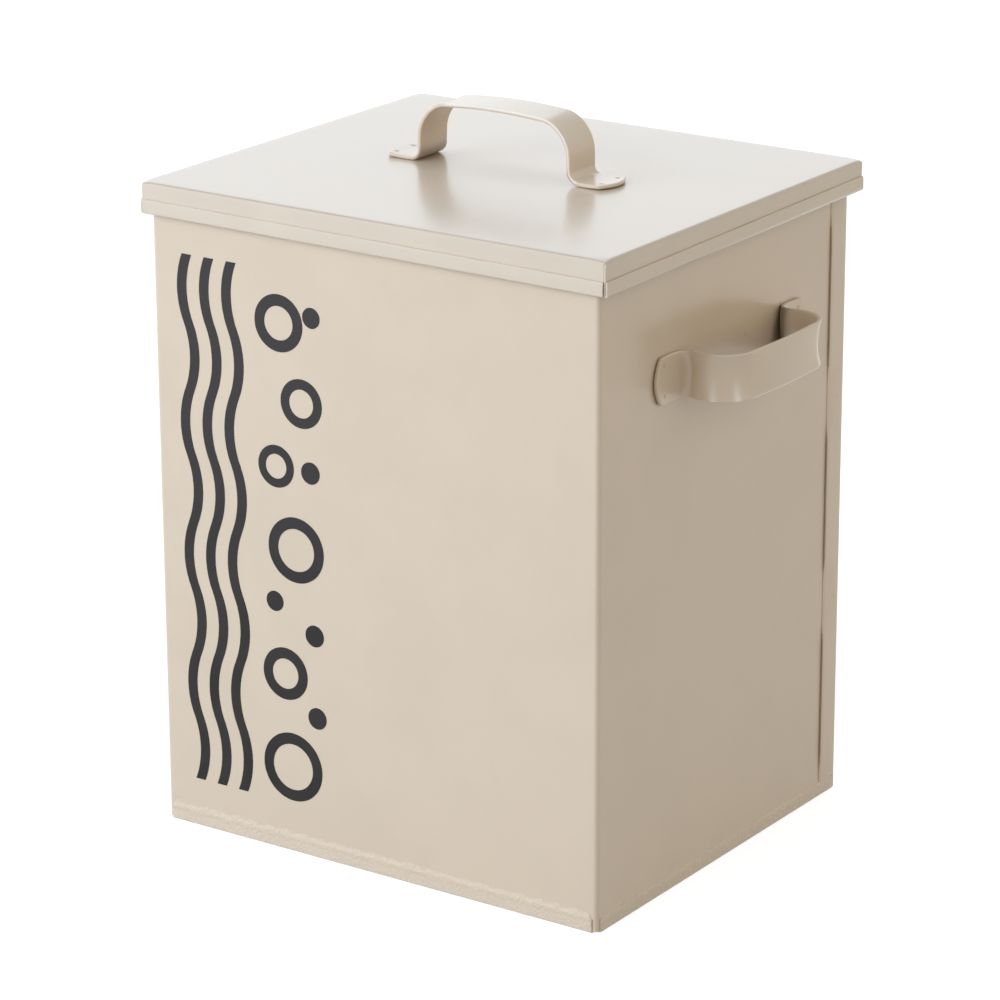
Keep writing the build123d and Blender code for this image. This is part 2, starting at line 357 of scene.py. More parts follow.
class Recipe:
    """One node material, written as expressions."""

    def __init__(self, name, tree_owner=None):
        self.material = tree_owner or bpy.data.materials.new(name)
        self.material.use_nodes = True
        self.tree = self.material.node_tree
        self.tree.nodes.clear()

    def node(self, kind, settings=None, values=None):
        """Add a node: its settings first, then the values or links of its sockets."""
        made = self.tree.nodes.new(kind)
        for key, value in (settings or {}).items():
            if key == "stops":
                self._stops(made.color_ramp, value)
            else:
                setattr(made, key, value)
        for key, value in (values or {}).items():
            socket = made.inputs[key]
            if isinstance(value, Signal):
                self.tree.links.new(value.socket, socket)
            else:
                socket.default_value = value
        return made

    def _stops(self, ramp, stops):
        while len(ramp.elements) < len(stops):
            ramp.elements.new(1.0)
        for element, (place, colour) in zip(ramp.elements, stops):
            element.position = place
            element.color = (*colour, 1.0)

    def add(self, kind, settings=None, values=None, output=0):
        """Add a node and take one of its outputs."""
        return Signal(self, self.node(kind, settings, values).outputs[output])

    def place(self):
        """Object coordinates, in metres."""
        return self.add("ShaderNodeTexCoord", output="Object")

    def rays(self):
        """1 for camera rays, and 1 for glossy rays."""
        made = self.node("ShaderNodeLightPath")
        return [Signal(self, made.outputs[name]) for name in ("Is Camera Ray", "Is Glossy Ray")]

    def axes(self, vector):
        """The three parts of a vector."""
        made = self.node("ShaderNodeSeparateXYZ", values={0: vector})
        return [Signal(self, made.outputs[i]) for i in range(3)]

    def noise(self, vector, size, detail=2.0, roughness=0.5):
        """Noise from 0 to 1 with lumps of about that size in metres."""
        values = {"Vector": vector, "Scale": 1.0 / size, "Detail": detail, "Roughness": roughness}
        return self.add("ShaderNodeTexNoise", values=values, output="Fac")

    def mask(self, value, low, high):
        """0 below low, 1 above high and smooth between."""
        settings = {"interpolation_type": "SMOOTHSTEP"}
        values = {"Value": value, "From Min": low, "From Max": high}
        return self.add("ShaderNodeMapRange", settings, values)

    def blend(self, mask, first, second):
        """Colour first where the mask is 0 and second where it is 1."""
        first, second = (c if isinstance(c, Signal) else (*c, 1.0) for c in (first, second))
        settings = {"data_type": "RGBA"}
        return self.add("ShaderNodeMix", settings, {0: mask, 6: first, 7: second}, output=2)

    def bump(self, height, depth, under=None):
        """Bump of a height from 0 to 1 that stands for depth metres."""
        values = {"Strength": 1.0, "Distance": depth, "Height": height}
        if under is not None:
            values["Normal"] = under
        return self.add("ShaderNodeBump", values=values)

    def finish(self, values):
        """End in a Principled shader with these sockets."""
        shader = self.add("ShaderNodeBsdfPrincipled", values=values)
        self.node("ShaderNodeOutputMaterial", values={"Surface": shader})
        return self.material


# Coat: sizes of its noises, then tones as shares of the coat's own colour; the dark tone serves weld marks
# and painted shade, and the lump tone is a painted highlight
MOTTLE_SIZE, SPECK_SIZE, LUMP_SIZE = 30.0 * MM, 0.45 * MM, 1.3 * MM
PALE, DEEP, SPECKED, DARK_MARKS_AND_SHADE, LUMP_HIGHLIGHT = 0.015, -0.02, -0.09, -0.62, 0.16
SPECK_SHARE, LUMP_HIGHLIGHT_SHARE = 0.25, 0.4  # how strongly specks and lumps show
MOTTLE_SHEEN, PEEL_SHEEN = 0.10, 0.05  # how far mottling and ripples change the roughness
MOTTLE_RANGE, SPECK_RANGE, LUMP_RANGE = (0.3, 0.7), (0.62, 0.72), (0.35, 0.75)  # of a noise, to fade over
FADED = 0.62  # the even grey towards which a coat fades
# Painted highlights: the pale colour a negative mark paints, the near white it reaches on the brightest
# edges, and how fast
PAINTED_HIGHLIGHT = (0.90, 0.84, 0.76)  # colour of coat that a tool has rubbed pale
HIGHLIGHT_WHITE = (1.0, 0.95, 0.86)  # colour of an edge that is rubbed through
HIGHLIGHT_GAIN, HIGHLIGHT_WHITE_FROM = 0.8, 1.5  # how fast a negative mark rubs the coat pale, and where it goes through
# Marks and painted shade on laps and walls: sizes, then tones from 0 to 1
DISH_RADII, DISH_DEPTH = (0.4 * MM, 1.2 * MM), 0.15 * MM
HELD_END = 0.5 * MM  # half of the way over which a seam opens
# The laps' cut edges carry painted shade over this distance
CUT_FACE = (0.05 * MM, 0.30 * MM)  # from a lap's cut face to where its own tone ends
TRAIL_PITCH, TRAIL_LOW, TRAIL_HIGH = 1.6 * MM, -14.0 * MM, -2.0 * MM
TRAIL_SPREAD = 0.1e-6  # square of the trail's half width, in square metres
DOT_RANGE = (0.5, 0.8)  # of the trail's pitch, over which a speck darkens
# Narrowest width of the painted heel shade on the walls, and the gaps between which it ends
NARROWEST_WALL_SHADE = 0.5 * MM
WALL_SHADE_END = (-0.5, -0.2)  # gaps between which the wedge ends on its far side
LAP_WELD_TONE, LAP_EDGE_SHADE, DENT_TONE, TRAIL_TONE = 0.10, 0.40, 0.2, 0.15
# Ink: sizes of its noises, how far it is paler at the top, in clouds and in grains, and how these show
GRAIN_SIZE, CLOUD_SIZE, GRAIN_DEPTH = 0.6 * MM, 18.0 * MM, 0.012 * MM
INK_TONES = (1.2, 1.5, 0.9)
CLOUD_SHARE, GRAIN_SHARE, GRAIN_SHEEN = 0.3, 0.5, 0.2
CLOUD_RANGE, GRAIN_RANGE = (0.35, 0.7), (0.60, 0.75)


def tinted(colour, share):
    """A colour made lighter or darker by a share."""
    return tuple(min(1.0, c * (1.0 + share)) for c in colour)


def dish(recipe, across, up):
    """1 in a small round hollow where both distances are near 0, and 0 outside it."""
    away = (across.power(2.0) + up.power(2.0)).power(0.5)
    return 1.0 - recipe.mask(away, *DISH_RADII)


def lap_marks_and_shade(recipe):
    """Weld marks of the back panel's laps, and painted shade on the laps' cut edges where they stand open.
    """
    sheets = bpy.context.scene.detergent_box_sheets
    _, y, z = recipe.axes(recipe.place())
    steps = (z - (sheets.weld_lowest - sheets.weld_pitch / 2)) / sheets.weld_pitch
    off = (steps.fraction() - 0.5) * sheets.weld_pitch
    weld = dish(recipe, y - (BACK_Y - sheets.weld_inset), off)
    # Painted shade on the cut edge where the flange stands open, for the shadow in its gap
    edge = 1.0 - recipe.mask(y, LAP_Y + CUT_FACE[0], LAP_Y + CUT_FACE[1])
    open_here = recipe.mask(off.power(2.0).power(0.5), sheets.held - HELD_END, sheets.held + HELD_END)
    return weld * LAP_WELD_TONE + edge * open_here * LAP_EDGE_SHADE, weld


def wall_marks_and_shade(recipe):
    """A small dent in each side wall over a trail of specks, and a wedge of painted shade beside a strap's
    heel, where the leg shades the wall.

    The painted shade begins at heel_shade_top and widens downwards by heel_shade_slope. gap is the distance
    from heel_shade_place as a share of its width: the shade is full at 0 and gone at 1, and the wedge ends
    sharply on its other side.
    """
    coat = bpy.context.scene.detergent_box_coat
    x, y, z = recipe.axes(recipe.place())
    along = y * x.sign()
    aside, above = along - coat.dent_place, z - coat.dent_height
    dent = dish(recipe, aside, above)
    dots = recipe.mask((above / TRAIL_PITCH).fraction(), *DOT_RANGE)
    dots = dots * (1.0 - recipe.mask(aside.power(2.0), 0.0, TRAIL_SPREAD))
    trail = dots * recipe.mask(above, TRAIL_LOW, TRAIL_LOW + MM)
    trail = trail * (1.0 - recipe.mask(above, TRAIL_HIGH - MM, TRAIL_HIGH))
    # Painted shade of the side strap's leg on the wall, widening downwards from the heel
    width = ((coat.heel_shade_top - z) * coat.heel_shade_slope).most(NARROWEST_WALL_SHADE)
    gap = (coat.heel_shade_place - along) / width
    heel = (1.0 - recipe.mask(gap, 0.0, 1.0)) * recipe.mask(gap, *WALL_SHADE_END)
    heel = heel * (1.0 - recipe.mask(z, coat.heel_shade_top, coat.heel_shade_top + MM))
    heel = heel * recipe.mask(z, coat.heel_shade_low - MM, coat.heel_shade_low)
    return dent * DENT_TONE + trail * TRAIL_TONE + heel, dent


def coated_steel(name, seed, weld_and_shade_tone=0.75, fade=0.0, lumps=0.0, marks=None):
    """Satin powder coat: fine ripples, slow waves of the sheet, faint mottling and specks.

    A mesh's mark darkens the coat where it is over 0, by weld_and_shade_tone, for weld marks and painted
    shade, and paints it pale as painted light where it is under 0. The seed shifts the noises, fade is how
    much paler than the others this coat is, lumps is the depth of its lumps, which are also painted paler
    as a highlight, and marks makes further darkening, of weld marks, specks and painted shade, and hollows
    from 0 to 1.
    """
    coat = bpy.context.scene.detergent_box_coat
    recipe = Recipe(name)
    shift = recipe.add("ShaderNodeMapping", values={"Vector": recipe.place(), "Location": (seed,) * 3})
    mottle = recipe.noise(shift, MOTTLE_SIZE, 3.0)
    speck = recipe.noise(shift, SPECK_SIZE, 1.0)
    colour = tuple(c + fade * (FADED - c) for c in coat.colour)
    tones = (tinted(colour, share) for share in (PALE, DEEP, SPECKED, DARK_MARKS_AND_SHADE, LUMP_HIGHLIGHT))
    pale, deep, specked, thin, lump_highlight = tones
    base = recipe.blend(recipe.mask(mottle, *MOTTLE_RANGE), deep, pale)
    base = recipe.blend(recipe.mask(speck, *SPECK_RANGE) * SPECK_SHARE, base, specked)
    mark = recipe.add("ShaderNodeAttribute", {"attribute_name": "mark"}, output="Fac")
    # Over 0 the mark paints weld marks and painted shade dark
    base = recipe.blend(mark * weld_and_shade_tone, base, thin)
    # Under 0 the mark paints highlights pale, near white on the brightest edges
    base = recipe.blend(mark * -HIGHLIGHT_GAIN, base, PAINTED_HIGHLIGHT)
    base = recipe.blend(mark * -1.0 - HIGHLIGHT_WHITE_FROM, base, HIGHLIGHT_WHITE)
    peel = recipe.noise(shift, coat.peel_size, 1.5)
    sway = recipe.noise(shift, coat.sway_size, 1.0)
    slow = recipe.bump(sway, coat.sway_depth)
    # marks adds weld marks, specks and painted shade
    if marks:
        dark, hollow = marks(recipe)
        slow = recipe.bump(1.0 - hollow, DISH_DEPTH, slow)
        base = recipe.blend(dark, base, thin)
    # Lumps in the coat: a bump, and a painted highlight that pales them
    if lumps:
        lump = recipe.mask(recipe.noise(shift, LUMP_SIZE, 2.0), *LUMP_RANGE)
        slow = recipe.bump(lump, lumps, slow)
        base = recipe.blend(lump * LUMP_HIGHLIGHT_SHARE, base, lump_highlight)
    roughness = coat.roughness + (mottle - 0.5) * MOTTLE_SHEEN + (peel - 0.5) * PEEL_SHEEN
    return recipe.finish({
        "Base Color": base, "Roughness": roughness, "IOR": 1.5,
        "Coat Weight": 0.5, "Coat Roughness": 0.17, "Coat IOR": 1.5,
        "Normal": recipe.bump(peel, coat.peel_depth, slow)})


def print_ink(name):
    """Matte soft-black ink with a fine grain, paler towards the top and thinner here and there."""
    ink = bpy.context.scene.detergent_box_print
    recipe = Recipe(name)
    place = recipe.place()
    grain = recipe.noise(place, GRAIN_SIZE, 2.0)
    cloud = recipe.noise(place, CLOUD_SIZE, 3.0)
    colour = tuple(ink.colour)
    high, clouded, grained = (tinted(colour, share) for share in INK_TONES)
    height = recipe.axes(place)[2]
    base = recipe.blend(recipe.mask(height, PRINT_LOW, PRINT_HIGH), colour, high)
    base = recipe.blend(recipe.mask(cloud, *CLOUD_RANGE) * CLOUD_SHARE, base, clouded)
    base = recipe.blend(recipe.mask(grain, *GRAIN_RANGE) * GRAIN_SHARE, base, grained)
    return recipe.finish({
        "Base Color": base, "Roughness": ink.roughness + (grain - 0.5) * GRAIN_SHEEN, "IOR": 1.3,
        "Normal": recipe.bump(grain, GRAIN_DEPTH)})


# Meshes from grids

DOUBLED, NO_LENGTH = 1e-6, 1e-7  # metres: points nearer than that are merged, edges shorter than that go


def grid_quads(rows, columns, first, closed):
    """Quads between neighbours of a grid of points; closed joins the last column to the first."""
    index = np.arange(rows * columns).reshape(rows, columns) + first
    if closed:
        index = np.concatenate([index, index[:, :1]], 1)
    corners = (index[:-1, :-1], index[:-1, 1:], index[1:, 1:], index[1:, :-1])
    return np.stack(corners, -1).reshape(-1, 4)


def make_piece(name, grids, finish, body, node, sheet=None):
    """One mesh of several grids, each (points as rows by columns by 3, closed, point values of the mark).

    With a sheet thickness, the grids are the middle of a sheet, and its cut edges are softened.
    """
    points, quads, marks, count = [], [], [], 0
    for grid, closed, mark in grids:
        rows, columns = grid.shape[:2]
        points.append(grid.reshape(-1, 3))
        quads.append(grid_quads(rows, columns, count, closed))
        marks.append(np.broadcast_to(mark, (rows, columns)).reshape(-1))
        count += rows * columns
    mesh = bpy.data.meshes.new(name)
    mesh.from_pydata(np.concatenate(points), [], np.concatenate(quads))
    attribute = mesh.attributes.new("mark", "FLOAT", "POINT")
    attribute.data.foreach_set("value", np.concatenate(marks).astype(np.float32))
    weld_mesh(mesh)
    mesh.polygons.foreach_set("use_smooth", np.ones(len(mesh.polygons), bool))
    mesh.set_sharp_from_angle(angle=CREASE)
    piece = bpy.data.objects.new(name, mesh)
    bpy.context.scene.collection.objects.link(piece)
    mesh.materials.append(finish)
    if sheet:
        thick = piece.modifiers.new("sheet", "SOLIDIFY")
        thick.thickness, thick.offset, thick.use_even_offset = sheet, 0.0, True
        soft = piece.modifiers.new("cut_edges", "BEVEL")
        soft.width, soft.segments, soft.angle_limit = sheet / 5, 2, CUT_EDGE
    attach(piece, body)
    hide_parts(node)


def weld_mesh(mesh):
    """Merge doubled points, drop what has no area and point the faces outwards."""
    work = bmesh.new()
    work.from_mesh(mesh)
    bmesh.ops.remove_doubles(work, verts=work.verts, dist=DOUBLED)
    bmesh.ops.dissolve_degenerate(work, edges=work.edges, dist=NO_LENGTH)
    bmesh.ops.recalc_face_normals(work, faces=work.faces)
    work.to_mesh(mesh)
    work.free()


def rounded_path(corners, radii, spacing, turn_step):
    """Walk a polyline whose corners are rounded by tangent arcs.

    An arc of radius r about a corner that turns by a starts r tan(a / 2) before it. Straight runs get a
    point every spacing, arcs one every turn_step radians. Returns points and unit tangents.
    """
    corners = np.asarray(corners, float)
    runs = np.diff(corners, axis=0)
    ways = runs / np.linalg.norm(runs, axis=1)[:, None]
    points, tangents, start = [], [], corners[0]
    for corner, radius, before, after in zip(corners[1:-1], radii, ways[:-1], ways[1:]):
        turn = math.atan2(before[0] * after[1] - before[1] * after[0], float(before @ after))
        cut = radius * math.tan(abs(turn) / 2)
        end = corner - before * cut
        steps = max(1, round(np.linalg.norm(end - start) / spacing))
        share = np.arange(steps)[:, None] / steps
        points.append(start + share * (end - start))
        tangents.append(np.repeat(before[None], steps, 0))
        side = math.copysign(1.0, turn)
        inward = side * np.array([-before[1], before[0]])
        centre = end + inward * radius
        steps = max(2, math.ceil(abs(turn) / turn_step))
        angle = np.arange(steps)[:, None] / steps * abs(turn)
        points.append(centre + radius * (np.sin(angle) * before - np.cos(angle) * inward))
        tangents.append(np.cos(angle) * before + np.sin(angle) * inward)
        start = corner + after * cut
    steps = max(1, round(np.linalg.norm(corners[-1] - start) / spacing))
    share = np.arange(steps + 1)[:, None] / steps
    points.append(start + share * (corners[-1] - start))
    tangents.append(np.repeat(ways[-1][None], steps + 1, 0))
    return np.concatenate(points), np.concatenate(tangents)


# Strap handles

FLAT_POINTS, QUARTER_POINTS = 45, 6  # of the section: across a flat side, and round an edge
SECTION_STEP, SECTION_TURN = 0.40 * MM, math.radians(4)  # from section to section, and on a bend
END_ROWS = 4  # rows that round a foot's end
FOOT_HEIGHT = 3  # thicknesses within which a face belongs to a foot
UPPER_SPREAD, LOWER_SPREAD = 9.0 * MM, 4.5 * MM  # how far a bend's curl reaches along the strap
LOWER_CURL = 0.3  # curl of a lower bend as a share of an upper one's, the other way
UPPER_WAIST, LOWER_WAIST = 0.012, 0.02  # share of its width that the strap loses at a bend
WELD_RIM, RIM_PLACE, RIM_WIDTH = 0.15, 1.6, 0.4  # rim of a dish: height in depths, the others in radii
# How strong the painted light on the edges is: the painted highlight on the lower one before and along the
# grip, and the painted shade on the upper one
EDGE_HIGHLIGHT, EDGE_HIGHLIGHT_GROWTH, UPPER_EDGE_SHADE = 0.1, 1.7, 0.1
EDGE_HIGHLIGHT_START, EDGE_HIGHLIGHT_LENGTH = -24 * MM, 6 * MM  # where that growth begins, from the strap's middle
# Painted shade on the heels' undersides, and under the feet's edges and ends where they meet the wall
HEEL_UNDERSIDE_SHADE, UNDER_FOOT_SHADE = 2.5, 1.2  # dark of the heels' undersides, and under the feet's edges
UNDER_HEIGHT, END_HEIGHT = 0.5 * MM, 0.9 * MM  # how far up that dark reaches at the sides and ends
EDGE_SHARE = 0.9  # share of the half width beyond which it lies
SEED_STEP = 0.31  # between the noises of the three straps


def strap_section(strap):
    """Closed outline of the strap's section: across and up from its middle, with quarter-round edges."""
    half, thin, edge = strap.width / 2, strap.thickness / 2, strap.edge
    flat = np.linspace(-(half - edge), half - edge, FLAT_POINTS)
    quarter = np.linspace(0, math.pi / 2, QUARTER_POINTS)[1:-1]
    bulge, fall = edge * np.sin(quarter), edge * np.cos(quarter)
    side = np.array([[half, thin - edge], [half, -(thin - edge)]])
    right_top = np.stack([half - edge + bulge, thin - edge + fall], 1)
    right_low = np.stack([half - edge + fall, -(thin - edge) - bulge], 1)
    top = np.stack([flat, np.full_like(flat, thin)], 1)
    right = np.concatenate([right_top, side, right_low])
    return np.concatenate([top, right, -top, -right])


def strap_grid(strap, curl, splay, shorter):
    """Points of a strap handle in its own frame: x along it, y across, z out of the face that carries it.

    The middle line is a polyline with rounded corners, bowed by a parabola over the grip. The section is
    carried along it. At an upper bend the section lifts by curl flare (s^2 - 1/2), with s the share of the
    half width, and at a lower one by a part of it the other way. The legs lean in by splay over their
    height, and the feet's ends are bulged, and nearer to the middle by shorter.
    """
    thin, leg = strap.thickness / 2, strap.span / 2 - strap.thickness / 2
    top = strap.rise - thin - strap.bow
    end = strap.reach - strap.edge - shorter
    corners = [(-end, thin), (-leg, thin), (-leg, top), (leg, top), (leg, thin), (end, thin)]
    foot, grip = strap.foot_bend + thin, strap.grip_bend + thin
    line, way = rounded_path(corners, (foot, grip, grip, foot), SECTION_STEP, SECTION_TURN)
    step = np.linalg.norm(np.diff(line, axis=0), axis=1)
    run = np.concatenate([[0], np.cumsum(step)])
    x, z = line.T
    rise = np.clip((z - thin) / (top - thin), 0, 1)
    z = z + strap.bow * np.clip(1 - (x / leg) ** 2, 0, 1) * rise
    x = x - splay * rise * x / leg
    normal = np.stack([-way[:, 1], way[:, 0]], 1)

    def bend_weight(height, radius, width):
        """Bell curves along the run, one about the middle of each bend at that height."""
        middle_x = leg - radius * ARC_INSET
        weight = np.zeros_like(run)
        for side in (-1, 1):
            near = run[np.argmin((line[:, 0] - side * middle_x) ** 2 + (line[:, 1] - height) ** 2)]
            weight += np.exp(-(((run - near) / width) ** 2))
        return weight

    upper = bend_weight(top - grip * ARC_INSET, grip, UPPER_SPREAD)
    lower = bend_weight(thin + foot * ARC_INSET, foot, LOWER_SPREAD)
    flare = curl * strap.flare * (upper - LOWER_CURL * lower)
    section = strap_section(strap)
    across, up = section[:, 0], section[:, 1]
    share = across / (strap.width / 2)
    lift = up[None] + flare[:, None] * (share[None] ** 2 - 0.5)
    wide = across[None] * (1 - UPPER_WAIST * upper - LOWER_WAIST * lower)[:, None]
    points = np.stack([
        x[:, None] + lift * normal[:, :1],
        wide,
        z[:, None] + lift * normal[:, 1:]], -1)

    # The feet's rows fan out towards a bulged end with small corners
    half = strap.width / 2
    over = np.clip(np.abs(across) - (half - strap.corner), 0, strap.corner)
    end_line = end - strap.bulge * share ** 2 - (strap.corner - np.sqrt(strap.corner ** 2 - over ** 2))
    flat_from = leg + foot
    reach = np.clip((np.abs(x) - flat_from) / (end - flat_from), 0, 1)[:, None]
    fanned = flat_from + reach * (end_line[None] - flat_from)
    on_foot = np.abs(x)[:, None] > flat_from
    points[..., 0] = np.where(on_foot, np.sign(x)[:, None] * fanned, points[..., 0])
    bow = curl * strap.foot_bow * lower[:, None] * (1 - share[None] ** 2)
    points[..., 0] -= np.sign(x)[:, None] * bow
    points[..., 2] += strap.tip_lift * reach ** 2 + curl * strap.heel_lift * lower[:, None]
    twist = curl * strap.heel_twist * lower[:, None] * (1 - share[None]) / 2
    points[..., 2] += twist * (x > 0)[:, None]

    # Dished weld marks on the feet, each a bell-shaped hollow with a faint rim
    spread = strap.weld_pitch / 2
    away = np.hypot(np.abs(points[..., 0]) - strap.weld_reach, np.abs(points[..., 1]) - spread)
    upper_side = (up > 0)[None] & (points[..., 2] < FOOT_HEIGHT * strap.thickness)
    hollow = np.exp(-((away / strap.weld_size) ** 4)) * upper_side
    rim = (away - RIM_PLACE * strap.weld_size) / (RIM_WIDTH * strap.weld_size)
    rim = np.exp(-(rim ** 2)) * upper_side
    points[..., 2] += strap.weld_depth * (WELD_RIM * rim - hollow)
    points[..., 2] = np.maximum(points[..., 2], 0)

    # Two painted highlights streak across the first bend from its lower edge, where small dents of the
    # bending tool would catch the light, fading over the width
    first_bend = (line[:, 0] + leg - grip * ARC_INSET) ** 2 + (line[:, 1] - top + grip * ARC_INSET) ** 2
    middle = run[np.argmin(first_bend)]
    highlight_streaks = np.zeros_like(hollow)
    for place, strength in zip(strap.highlight_places, strap.highlight_strengths):
        highlight_streaks += strength * np.exp(-(((run - middle - place) / strap.highlight_width) ** 2))[:, None]
    marks = hollow - curl * highlight_streaks * np.clip(-share[None], 0, 1) * (up > 0)[None]

    # Painted highlight along the lower edge over the grip, where it would mirror the bright floor, and
    # painted shade along the upper edge
    edges = np.abs(share[None]) > 1 - strap.edge / half
    along = np.clip((points[..., 0] - EDGE_HIGHLIGHT_START) / EDGE_HIGHLIGHT_LENGTH, 0, 1)
    edge_light_and_shade = np.where(share[None] < 0, EDGE_HIGHLIGHT + EDGE_HIGHLIGHT_GROWTH * along, -UPPER_EDGE_SHADE)
    marks = marks - curl * edges * (1 - on_foot) * edge_light_and_shade

    # Painted shade under the feet's edges, in beads under the lid strap's left foot, and on the heels'
    # undersides, where they meet the wall
    under = np.clip(1 - points[..., 2] / UNDER_HEIGHT, 0, 1) * (np.abs(share[None]) > EDGE_SHARE)
    drops = np.sin(2 * math.pi * points[..., 0] / strap.bead_pitch) * (points[..., 0] < 0) * (1 - curl)
    heel = HEEL_UNDERSIDE_SHADE * curl * lower[:, None] ** 3
    marks = np.where((up < 0)[None], heel, marks) + UNDER_FOOT_SHADE * under * (1 + drops) * on_foot

    # Each end rounds over its edge and closes on its middle line
    caps = []
    turns = np.linspace(0, math.pi / 2, END_ROWS + 1)[1:]
    shrink = (thin - strap.edge + strap.edge * np.cos(turns)) / thin
    for row, sign in ((0, -1), (-1, 1)):
        ring = points[row]
        cap = np.repeat(ring[None], len(turns) + 1, 0)
        cap[:-1, :, 0] += sign * strap.edge * np.sin(turns)[:, None]
        cap[-1, :, 0] += sign * strap.edge
        middle = thin + strap.tip_lift
        cap[:-1, :, 2] = middle + (ring[:, 2] - middle)[None] * shrink[:, None]
        cap[-1, :, 2] = middle
        caps.append(cap)
    points = np.concatenate([caps[0][::-1], points, caps[1]])
    # Painted shade under the feet's ends
    cap_marks = [UNDER_FOOT_SHADE * np.clip(1 - cap[..., 2] / END_HEIGHT, 0, 1) for cap in caps]
    return points, np.concatenate([cap_marks[0][::-1], marks, cap_marks[1]])


def seated(points, origin, along, out):
    """Carry points from a strap's own frame to its seat on the box."""
    along, out = np.array(along, float), np.array(out, float)
    axes = np.stack([along, np.cross(out, along), out])
    return points @ axes + np.array(origin)


class DETERGENTBOX_OT_bend_straps(bpy.types.Operator):
    """Bend the three strap handles and seat them on the lid and the side walls"""

    bl_idname = "detergent_box.bend_straps"
    bl_label = "Bend strap handles"

    def execute(self, context):
        strap = context.scene.detergent_box_strap
        # For each body, its straps' share of the curls, splay, and how much shorter their feet are
        bends = {"lid": (0.35, strap.splay, strap.shorter), "box": (1.0, 0.0, 0.0)}
        finishes = {"lid": {"weld_and_shade_tone": 0.75, "fade": 0.10}, "box": {"weld_and_shade_tone": 0.4}}
        seats = (
            ("lid_strap", "lid_handle", "lid", (1, 0, 0), (0, 0, 1)),
            ("right_strap", "side_handle_right", "box", (0, 1, 0), (1, 0, 0)),
            ("left_strap", "side_handle_left", "box", (0, -1, 0), (-1, 0, 0)),
        )
        for index, (name, node, body, along, out) in enumerate(seats):
            points, marks = strap_grid(strap, *bends[body])
            if body == "lid":
                points[..., 0] += strap.aside
            low, high = node_box(node)
            facing = np.sign(out)
            origin = np.where(facing > 0, low, np.where(facing < 0, high, (low + high) / 2))
            finish = coated_steel("coat_" + name, SEED_STEP * (index + 1), **finishes[body])
            make_piece(name, [(seated(points, origin, along, out), True, marks)], finish, body, node)
        return {"FINISHED"}


# Folded sheets, each the middle surface of one bent sheet

FOLD_STEPS, SKIRT_ROWS, HEM_ROWS = 8, 12, 3  # rows of a fold, of a skirt and of the rim's hem
CORNER_TURN = math.radians(15)  # from point to point of the back panel's corners
BASE_STEP, BASE_TURN = MM, math.radians(18)  # from point to point of a base flange, and on its bend
LEFT_LAP = 3  # rows of the left bend over which the front and rear skirts reach
SKIRT_WAVE, HEM_WAVE = 70.0 * MM, 30.0 * MM  # lengths of their waves
SKIRT_FADE = 4 * MM  # below the fold, where a skirt's waves are full
HEM_UNEVEN = 0.5  # share of a hem's lean that changes along it
DROOP_REACH = 2.5 * MM  # how far a hammered corner reaches
# Painted shade along the lid's front and rear folds, and a painted highlight on the lower folds of its
# sides
FOLD_SHADE_DROP, FOLD_SHADE_WIDTH = 0.35, 0.28  # place and width of the folds' dark line, in fold radii
HIGHLIGHT_HEIGHT, HIGHLIGHT_MIDDLE = 0.60 * MM, 0.4  # reach of the rub on a lower fold, and its share at mid depth
LAP_ROWS, LAP_STEEPNESS = 120, 6  # rows of a flange, and how soon its edge rises beside a weld
# Painted shade on the base's side flanges and painted light on its front and rear ones
SIDE_FLANGE_SHADE, FRONT_FLANGE_LIGHT = 0.10, -0.10  # marks on the base's side flanges and on its front and rear ones
BEAD_POINTS = 21  # of the section: over a bead's outer face
BEAD_STEP, BEAD_END = 0.9 * MM, 2 * MM  # from section to section, and how long a bead's ends are
BEAD_WAVE, BEAD_UNEVEN = 9.0 * MM, 0.35  # waves of a bead's height, and their share of it
PROUD_WAVE, PROUD_UNEVEN = 5.0 * MM, 0.6  # the same of its thickness
FRONT_SEED, SIDE_SEED, BEAD_SEED, PROUD_SEED = 3, 7, 11, 19  # of the waves of skirts and beads


def ripple(along, size, seed):
    """Slow uneven waves from -1 to 1: the mean of four sines of seeded lengths and phases."""
    draw = np.random.default_rng(seed)
    lengths, phases = size * draw.uniform(0.6, 1.8, 4), draw.uniform(0, 2 * math.pi, 4)
    return np.sin(2 * math.pi * along[..., None] / lengths + phases).mean(-1)


def plate_stations(half, radius, spacing, steps):
    """Places across a plate with both edges bent down, and how far each place drops.

    On a bend, place = flat + r sin(a) and drop = r (1 - cos(a)), a from 0 to a quarter turn.
    """
    flat = half - radius
    angle = np.linspace(0, math.pi / 2, steps + 1)[1:]
    middle = np.linspace(-flat, flat, round(2 * flat / spacing) + 1)
    bend, drop = flat + radius * np.sin(angle), radius * (1 - np.cos(angle))
    return np.concatenate([-bend[::-1], middle, bend]), np.concatenate([drop[::-1], 0 * middle, drop])


def skirt_low(border, low, half, sheets):
    """Lower edge of the skirts below each point of the border: low less the sags of the four corners.

    The sag is bilinear in the point's shares of the lid's width and depth.
    """
    right, back = (np.clip(border[:, axis] / half[axis], -1, 1) / 2 + 0.5 for axis in (0, 1))
    front_left, front_right, back_left, back_right = sheets.skirt_sag
    front = front_left + (front_right - front_left) * right
    rear = back_left + (back_right - back_left) * right
    return low - front - (rear - front) * back


